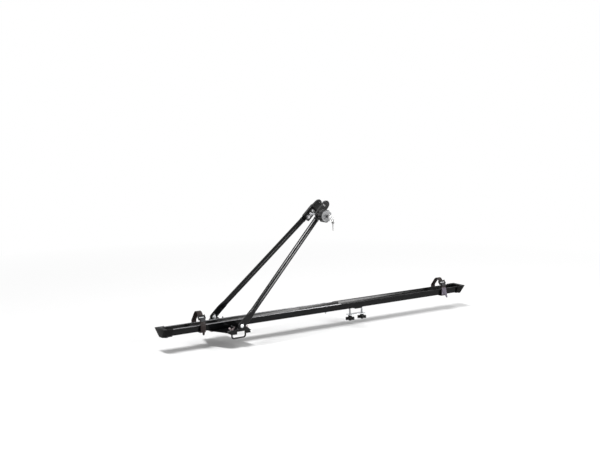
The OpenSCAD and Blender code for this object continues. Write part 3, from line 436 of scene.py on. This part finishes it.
# middle, half height, half thickness and corner power of the leg at a distance from the pivot
def legSection(x, flatTop):
    tube, end = leg["tube"], leg["reach"] - flatTop
    flat = 1 - eased((x - leg["flatFoot"]) / leg["blend"]) * eased((end - x) / leg["topBlend"])
    along = (x - leg["flatFoot"]) / (end - leg["flatFoot"])
    side = leg["footMid"] + (leg["topMid"] - leg["footMid"]) * along
    side = min(leg["footMid"], max(leg["topMid"], side))
    half = leg["tabHalf"] if x < leg["reach"] / 2 else leg["topHalf"]
    if x < 0:
        half = math.sqrt(max(0.0, leg["tabHalf"] ** 2 - x * x))
    elif x > leg["reach"]:
        half = math.sqrt(max(0.0, leg["topRound"] ** 2 - (x - leg["reach"]) ** 2))
    elif x > end:
        half += (leg["topRound"] - leg["topHalf"]) * (x - end) / flatTop
    power = 2 / (2 + (leg["corner"] - 2) * flat)
    return side, tube + (half - tube) * flat, tube + (leg["tabThick"] - tube) * flat, power


# until every ring is pulled, a vertex keeps its angle round the tube in z
def legPiece(name, node, mirrored):
    bm = bmesh.new()
    wear = bm.verts.layers.float.new("wear")
    ring = bmesh.ops.create_circle(bm, segments=leg["sides"], radius=leg["tube"],
                                   cap_ends=False)["verts"]
    flatTop = leg["flatTop"][node]
    first = ring
    for vert in ring:
        vert.co.z = math.atan2(vert.co.y, vert.co.x)
    for i, x in enumerate(legStations(flatTop)):
        if i:
            ring = vertsIn(bmesh.ops.extrude_edge_only(bm, edges=edgesOf(bm, ring))["geom"])
        side, _, thick, power = legSection(x, flatTop)
        for vert in ring:
            across, up = math.cos(vert.co.z), math.sin(vert.co.z)
            vert[wear] = (1 - min(1.0, thick / leg["tube"])) * abs(up) ** leg["rubPower"]
            vert.co.x = x
            vert.co.y = side + math.copysign(abs(across) ** power, across) * thick
    for vert in bm.verts:
        _, half, _, power = legSection(vert.co.x, flatTop)
        up = math.sin(vert.co.z)
        vert.co.z = math.copysign(abs(up) ** power, up) * half
    for end in (first, ring):
        bmesh.ops.contextual_create(bm, geom=edgesOf(bm, end))
    bmesh.ops.transform(bm, verts=bm.verts, matrix=armPlace)
    if mirrored:
        bmesh.ops.scale(bm, verts=bm.verts, vec=(1, -1, 1))
    bmesh.ops.recalc_face_normals(bm, faces=bm.faces)
    made = piece(bm, name, node, coat, leg["smooth"])
    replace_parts(made, node)


legPiece("far_tube", "far_leg", False)
legPiece("near_tube", "near_leg", True)
print("legs pressed")

# pieces whose solids are right get rounded edges: finish, size of the round and its steps
rounding = {"base_bracket": (coat, 0.0007, 2),
            "front_end_cap": (capPlastic, 0.0012, 3),
            "rear_end_cap": (capPlastic, 0.0012, 3),
            "base_pad": (rubber, 0.0004, 2),
            "rear_pad": (rubber, 0.0006, 2),
            "rear_clamp_plate": (zinc, 0.0005, 2),
            "rear_star_knob_front": (blackPlastic, 0.0012, 3),
            "rear_star_knob_back": (blackPlastic, 0.0012, 3),
            "near_front_wing_nut": (wingZinc, 0.0005, 2),
            "near_rear_wing_nut": (wingZinc, 0.0005, 2),
            "far_front_wing_nut": (wingZinc, 0.0005, 2),
            "far_rear_wing_nut": (wingZinc, 0.0005, 2),
            "far_jaw": (jawPlastic, 0.0011, 3),
            "near_jaw": (jawPlastic, 0.0011, 3),
            "far_jaw_lining": (rubber, 0.0005, 2),
            "near_jaw_lining": (rubber, 0.0005, 2),
            "clamp_knob": (blackPlastic, 0.0009, 3),
            "key": (nickel, 0.0003, 2),
            "spare_key": (nickel, 0.0003, 2),
            "lock_core": (leverSteel, 0.0002, 2),
            "front_buckle": (blackPlastic, 0.0005, 2),
            "rear_buckle": (blackPlastic, 0.0005, 2),
            "front_buckle_lever": (leverSteel, 0.0005, 2),
            "rear_buckle_lever": (leverSteel, 0.0005, 2),
            "pivot_nuts": (zinc, 0.0003, 2),
            "base_rail_nuts": (zinc, 0.0003, 2),
            "rail_joint_nut": (zinc, 0.0003, 2),
            "far_leg_nut": (dullZinc, 0.0003, 2)}
for node, (material, edge, steps) in rounding.items():
    softened(node, material, edge, steps)
print("edges rounded on", len(rounding), "pieces")

# straps: the tail outside the rail is marked, and carries rows of small ribs
strap = {"tailSkin": -0.03495, "skin": -0.03755, "tip": -0.007, "taper": 0.0285, "tailOver": 0.005,
         "ribFrom": 0.0265, "ribTo": 0.003, "ribs": 8, "ribHalf": 0.0055, "ribSize": 0.0011,
         "ribNarrow": 0.6, "ribTurn": 45, "edge": 0.0005, "edgeSteps": 2}
straps = {"front_strap": {"lever": "front_lever_open", "lean": 0.0, "finish": darkStrap},
          "rear_strap": {"lever": "rear_lever_open", "lean": 0.015, "finish": paleStrap}}


def ribTail(bm, spot):
    tail = bm.verts.layers.float.new("tail")
    middle = jointAt[spot["lever"]][0]
    tailTop = strap["taper"] + strap["tailOver"]
    for vert in bm.verts:
        vert[tail] = 1.0 if vert.co.y < strap["tailSkin"] and vert.co.z < tailTop else 0.0
    turn = Matrix.Rotation(math.radians(strap["ribTurn"]), 3, "X")
    for i in range(strap["ribs"]):
        height = strap["ribFrom"] + (strap["ribTo"] - strap["ribFrom"]) * i / (strap["ribs"] - 1)
        down = (strap["taper"] - height) / (strap["taper"] - strap["tip"])
        down = min(1.0, max(0.0, down))
        width = 2 * strap["ribHalf"] * (1 - strap["ribNarrow"] * down)
        rib = bmesh.ops.create_cube(bm, size=1.0)["verts"]
        bmesh.ops.scale(bm, verts=rib, vec=(width, strap["ribSize"], strap["ribSize"]))
        bmesh.ops.rotate(bm, verts=rib, cent=(0, 0, 0), matrix=turn)
        bmesh.ops.translate(bm, verts=rib,
                            vec=(middle + spot["lean"] * down, strap["skin"], height))
        for vert in rib:
            vert[tail] = 1.0


for node, spot in straps.items():
    softened(node, spot["finish"], strap["edge"], strap["edgeSteps"], lambda bm: ribTail(bm, spot))
print("straps ribbed")

# bright bars across the roots of the buckles' levers
leverBar = {"names": {"front_buckle_lever": "front_lever_bar",
                      "rear_buckle_lever": "rear_lever_bar"},
            "radius": 0.0013, "length": 0.019, "sides": 20, "fromRoot": 0.004, "sunk": 0.0004,
            "edge": 0.0003, "edgeSteps": 2, "rimTurn": 60, "outward": -0.2}


# the bar lies on the lever's largest face that looks away from the rail
def leverBarOn(node, name):
    lever = nodes[node].data
    plate = max((p for p in lever.polygons if p.normal.y < leverBar["outward"]),
                key=lambda p: p.area)
    out, middle = plate.normal.copy(), plate.center.copy()
    along = out.cross(Vector((1, 0, 0))).normalized()
    along *= math.copysign(1.0, along.z)
    half = max((lever.vertices[i].co - middle).dot(along) for i in plate.vertices)
    bm = bmesh.new()
    bmesh.ops.create_cone(bm, cap_ends=True, segments=leverBar["sides"],
                          radius1=leverBar["radius"], radius2=leverBar["radius"],
                          depth=leverBar["length"])
    limit = math.radians(leverBar["rimTurn"])
    rims = [e for e in bm.edges if e.calc_face_angle() > limit]
    roundOver(bm, rims, leverBar["edge"], leverBar["edgeSteps"])
    bmesh.ops.rotate(bm, verts=bm.verts, cent=(0, 0, 0),
                     matrix=Matrix.Rotation(math.radians(90), 3, "Y"))
    bmesh.ops.translate(bm, verts=bm.verts, vec=middle + along * (half - leverBar["fromRoot"])
                        + out * (leverBar["radius"] - leverBar["sunk"]))
    piece(bm, name, node, zinc)


for node, name in leverBar["names"].items():
    leverBarOn(node, name)
print("lever bars set")


# places at a height on the axes of nuts or knobs that turn
def onAxes(height, *joints):
    return [(*jointAt[joint][:2], height) for joint in joints]


# real threads: a shank is drawn in to the root of its thread and ridges are wound round it
# root, foot and crest are shares of the pitch, and bare is the pitches left without a ridge
threadForm = {"root": 0.613, "foot": 0.44, "crest": 0.06, "bare": 2, "steps": 18, "sunk": 0.00005,
              "shy": 0.00002, "shoulder": 0.0003, "slack": 1.02, "near": 1e-6, "cut": 1e-7}
screwHead = armPlace @ Vector((leg["reach"], 0, 0))

m6 = {"radius": 0.003, "pitch": 0.001, "starts": 1}
m8 = {"radius": 0.004, "pitch": 0.00125, "starts": 1}
quickM8 = {"radius": 0.004, "pitch": 0.0035 / 3, "starts": 3}
threads = {"rear_clamp_bolts": {"at": onAxes(-0.0005, "star_a_turn", "star_b_turn"),
                                "run": (0, 0, -0.0452), "size": m8, "finish": zinc},
           "rail_joint_bolt": {"at": ((0.434, 0, 0.0044),),
                               "run": (0, 0, -0.0083), "size": m6, "finish": zinc},
           "base_rail_bolts": {"at": ((-0.066, 0, 0.0019), (0.031, 0, 0.0019)),
                               "run": (0, 0, -0.0068), "size": m6, "finish": zinc},
           "near_u_bolt": {"at": onAxes(0, "near_wing_a_turn", "near_wing_b_turn"),
                           "run": (0, 0, 0.0229), "size": m6, "finish": coat},
           "far_u_bolt": {"at": onAxes(0, "far_wing_a_turn", "far_wing_b_turn"),
                          "run": (0, 0, 0.0229), "size": m6, "finish": coat},
           "clamp_screw": {"at": ((screwHead.x, 0.021, screwHead.z),),
                           "run": (0, -0.0843, 0), "size": quickM8, "finish": zinc}}


# two cuts leave a short shoulder between the shank and the root of its thread
def drawIn(bm, at, way, radius, root):
    shoulder = threadForm["shoulder"]
    for cut in (0, shoulder):
        bmesh.ops.bisect_plane(bm, geom=bm.verts[:] + bm.edges[:] + bm.faces[:],
                               dist=threadForm["cut"], plane_co=at + way * cut, plane_no=way)
    for vert in bm.verts:
        along = (vert.co - at).dot(way)
        out = vert.co - at - way * along
        onShank = radius / 2 < out.length < radius * threadForm["slack"]
        if along > shoulder - threadForm["near"] and onShank:
            vert.co -= out.normalized() * (out.length - root)


def windThread(bm, at, run, size):
    way, pitch, starts = run.normalized(), size["pitch"], size["starts"]
    root = size["radius"] - threadForm["root"] * pitch
    drawIn(bm, at, way, size["radius"], root)
    lead = pitch * starts
    turns = int((run.length - threadForm["bare"] * pitch) / lead)
    foot, crest = way * pitch * threadForm["foot"], way * pitch * threadForm["crest"]
    begin = at + way * pitch
    for start in range(starts):
        turned = Matrix.Rotation(2 * math.pi * start / starts, 3, way)
        side = turned @ way.orthogonal().normalized()
        deep = side * (root - threadForm["sunk"])
        high = side * (size["radius"] - threadForm["shy"])
        corners = (deep - foot, high - crest, high + crest, deep + foot)
        ring = [bm.verts.new(begin + corner) for corner in corners]
        loop = [bm.edges.new((ring[i - 1], ring[i])) for i in range(len(ring))]
        wound = bmesh.ops.spin(bm, geom=ring + loop, cent=at, axis=way,
                               dvec=way * (lead / threadForm["steps"]),
                               angle=2 * math.pi * turns, steps=turns * threadForm["steps"])
        last = [e for e in wound["geom_last"] if isinstance(e, bmesh.types.BMEdge)]
        for rim in (loop, last):
            bmesh.ops.contextual_create(bm, geom=rim)


for node, thread in threads.items():
    bm = copied(node)
    for at in thread["at"]:
        windThread(bm, Vector(at), Vector(thread["run"]), thread["size"])
    bmesh.ops.recalc_face_normals(bm, faces=bm.faces)
    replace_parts(piece(bm, node + "_threaded", node, thread["finish"]), node)
print("threads wound on", len(threads), "nodes")

# nodes that stay as they are and only get a finish
kept = {"wing_nut_washers": zinc, "pivot_bolts": zinc, "pivot_washers": zinc,
        "tongue_rivets": coat, "far_leg_bolt": dullZinc, "thrust_sleeve": zinc,
        "knob_insert": brass, "knob_cap": greyPlastic, "key_ring": nickel}
for node, material in kept.items():
    keep(node, material)
print("finishes on", len(kept), "kept nodes")

# the floor lies lower than the star knobs can go, and fades to white away from the part
stage = {"floor": 30.0, "sides": 96, "below": 0.0104, "near": (0.88, 0.88, 0.88, 1), "rough": 0.75,
         "far": (1, 1, 1, 1), "fadeFrom": 0.5, "fadeTo": 2.6, "sky": 0.25}


def makeFloor():
    bm = bmesh.new()
    bmesh.ops.create_circle(bm, segments=stage["sides"], radius=stage["floor"], cap_ends=True)
    mesh = bpy.data.meshes.new("floor")
    bmesh.ops.translate(bm, verts=bm.verts, vec=(0, 0, cadLow.z - stage["below"]))
    bm.to_mesh(mesh)
    bm.free()
    paint = Paint("paleFloor")
    paint.done(base=stage["near"], roughness=stage["rough"])
    away = paint.add("ShaderNodeVectorMath", {"operation": "LENGTH"}, {0: paint.place}, "Value")
    fade = paint.ramp(away * (1 / stage["fadeTo"]), stage["fadeFrom"] / stage["fadeTo"], 1.0)
    rays = [paint.add("ShaderNodeLightPath", {}, {}, "Is %s Ray" % ray)
            for ray in ("Camera", "Glossy", "Transmission")]
    seen = paint.add("ShaderNodeMath", {"operation": "ADD", "use_clamp": True},
                     {0: rays[0] + rays[1], 1: rays[2]})
    glow = paint.add("ShaderNodeEmission", {}, {"Color": stage["far"], "Strength": 1.0})
    mixed = paint.add("ShaderNodeMixShader", {},
                      {0: fade * seen, 1: Val(paint, paint.shader.outputs[0]), 2: glow})
    paint.plug(paint.tree.nodes["Material Output"].inputs["Surface"], mixed)
    mesh.materials.append(paint.material)
    floor = bpy.data.objects.new("floor", mesh)
    bpy.context.scene.collection.objects.link(floor)


# white to the camera and to mirrors, and a weaker light on the part
def makeSky():
    world = bpy.data.worlds.new("sky")
    bpy.context.scene.world = world
    world.use_nodes = True
    tree = world.node_tree
    back = tree.nodes["Background"]
    back.inputs["Color"].default_value = stage["far"]
    path = tree.nodes.new("ShaderNodeLightPath")
    level = path.outputs["Is Camera Ray"]
    for ray in ("Is Glossy Ray", "Is Transmission Ray"):
        most = tree.nodes.new("ShaderNodeMath")
        most.operation = "MAXIMUM"
        tree.links.new(level, most.inputs[0])
        tree.links.new(path.outputs[ray], most.inputs[1])
        level = most.outputs[0]
    lift = tree.nodes.new("ShaderNodeMath")
    lift.operation = "MULTIPLY_ADD"
    lift.inputs[1].default_value = 1 - stage["sky"]
    lift.inputs[2].default_value = stage["sky"]
    tree.links.new(level, lift.inputs[0])
    tree.links.new(lift.outputs[0], back.inputs["Strength"])


# each lamp stands where tubes, beads or the channel's far wall mirror it into the camera
lamps = {"key": {"place": (-2.0, -0.55, 7.7), "aim": (0.2, 0, 0.1),
                 "size": (3.2, 0.8), "turn": 0, "power": 500.0},
         "beadStrip": {"place": (2.05, -0.3, 2.5), "aim": (0.5, 0, 0),
                       "size": (2.3, 0.25), "turn": 0, "power": 15.0},
         "wallPanel": {"place": (2.51, -3.74, 1.015), "aim": (0.2, 0, 0.05),
                       "size": (1.9, 0.55), "turn": -44, "power": 120.0},
         "legPanel": {"place": (0.07, -3.8, 0.6), "aim": (0.2, 0, 0.2),
                      "size": (1.3, 0.45), "turn": -44, "power": 34.0}}


def makeLamp(name, lamp):
    light = bpy.data.lights.new(name, "AREA")
    light.shape = "RECTANGLE"
    light.size, light.size_y = lamp["size"]
    light.energy = lamp["power"]
    made = bpy.data.objects.new(name, light)
    made.location = lamp["place"]
    facing = (Vector(lamp["aim"]) - made.location).to_track_quat("-Z", "Y").to_matrix()
    turn = Matrix.Rotation(math.radians(lamp["turn"]), 3, "Z")
    made.rotation_euler = (facing @ turn).to_euler()
    bpy.context.scene.collection.objects.link(made)


# a camera at the photo's angle: yaw is from +Y to +X, and pitch is downwards
shot = {"place": (-2.4857, -4.2943, 1.0524), "yaw": 33.218, "pitch": 7.837, "roll": -1.236,
        "lens": 83.18, "sensor": 36.0, "clip": (0.05, 200.0)}


def makeCamera():
    yaw, pitch, roll = (math.radians(shot[k]) for k in ("yaw", "pitch", "roll"))
    level = Vector((math.sin(yaw), math.cos(yaw), 0))
    ahead = level * math.cos(pitch) - Vector((0, 0, math.sin(pitch)))
    right = Vector((math.cos(yaw), -math.sin(yaw), 0))
    up = right.cross(ahead)
    side = right * math.cos(roll) + up * math.sin(roll)
    top = up * math.cos(roll) - right * math.sin(roll)
    lens = bpy.data.cameras.new("camera")
    lens.lens = shot["lens"]
    lens.sensor_width = shot["sensor"]
    lens.clip_start, lens.clip_end = shot["clip"]
    camera = bpy.data.objects.new("camera", lens)
    turn = Matrix((side, top, -ahead)).transposed().to_4x4()
    camera.matrix_world = Matrix.Translation(shot["place"]) @ turn
    bpy.context.scene.collection.objects.link(camera)
    bpy.context.scene.camera = camera


makeFloor()
makeSky()
for lampName, lamp in lamps.items():
    makeLamp(lampName, lamp)
makeCamera()
bpy.context.scene.view_settings.view_transform = "Standard"
print("stage set")
